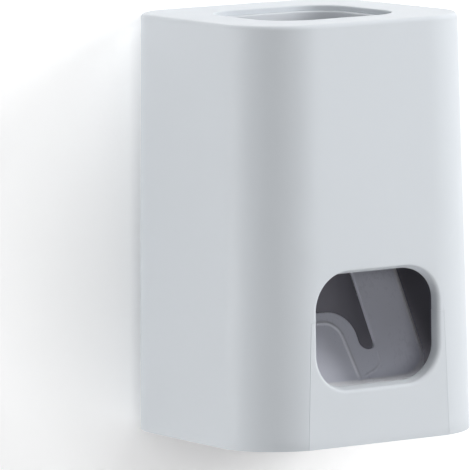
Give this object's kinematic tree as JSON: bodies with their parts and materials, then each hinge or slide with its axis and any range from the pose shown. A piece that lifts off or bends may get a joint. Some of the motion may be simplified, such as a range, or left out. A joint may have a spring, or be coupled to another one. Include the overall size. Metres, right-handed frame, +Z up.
{
  "type": "toothpaste dispenser",
  "caption": "Wall-held toothpaste dispenser: tapered cover with a tube opening on top and a brush window in front of a sprung push lever that works a hand pump.",
  "frame": {"origin": "middle of the adhesive pad's face against the wall", "axes": "+Y into the wall, so the brush window faces -Y; +Z up; +X to the right seen from the room"},
  "size_m": [0.0812, 0.075, 0.12],
  "materials": {
    "cover_plastic": "fine satin moulding",
    "inner_plastic": "satin moulding",
    "frame_plastic": "matte moulding",
    "lever_plastic": "soft gloss, slightly translucent",
    "silicone": "satin silicone",
    "pad_foam": "foam tape",
    "bumper_rubber": "matte rubber",
    "steel": "bright drawn steel"
  },
  "bodies": {
    "base": {"back_plate": "frame_plastic", "adhesive_pad": "pad_foam", "pump_frame": "frame_plastic", "frame_screws": "steel", "pump_chamber": "inner_plastic", "chamber_screws": "steel", "tube_seat": "silicone", "seat_ring": "frame_plastic", "inlet_valve": "silicone", "bulb": "silicone", "bulb_cap": "frame_plastic", "outlet_valve": "silicone", "nozzle": "silicone", "nozzle_seal": "silicone", "hinge_pin": "steel", "pin_clips": "steel", "return_springs": "steel", "stop_bumper": "bumper_rubber"},
    "cover": {"cover_shell": "cover_plastic", "sill_insert": "cover_plastic", "tube_guide": "inner_plastic"},
    "lever": {"push_lever": "lever_plastic"},
    "plunger": {"pusher": "lever_plastic"}
  },
  "joints": [
    {"name": "lever_hinge", "type": "hinge", "parent": "base", "child": "lever", "pos_m": [0, -0.02, 0.0095], "axis": [1, 0, 0], "range_deg": [0, 20], "stiffness_Nm_per_rad": 0.25, "springref_deg": -20.05, "deforming": ["return_springs"]},
    {"name": "plunger_slide", "type": "slide", "parent": "base", "child": "plunger", "axis": [0, -1, 0], "range_m": [0, 0.00485], "deforming": ["bulb"]},
    {"name": "cover_lift", "type": "slide", "parent": "base", "child": "cover", "axis": [0, 0, 1], "range_m": [0, 0.014]}
  ],
  "couplings": [
    {"joint": "plunger_slide", "follows": "lever_hinge", "m_per_rad": 0.013774}
  ]
}
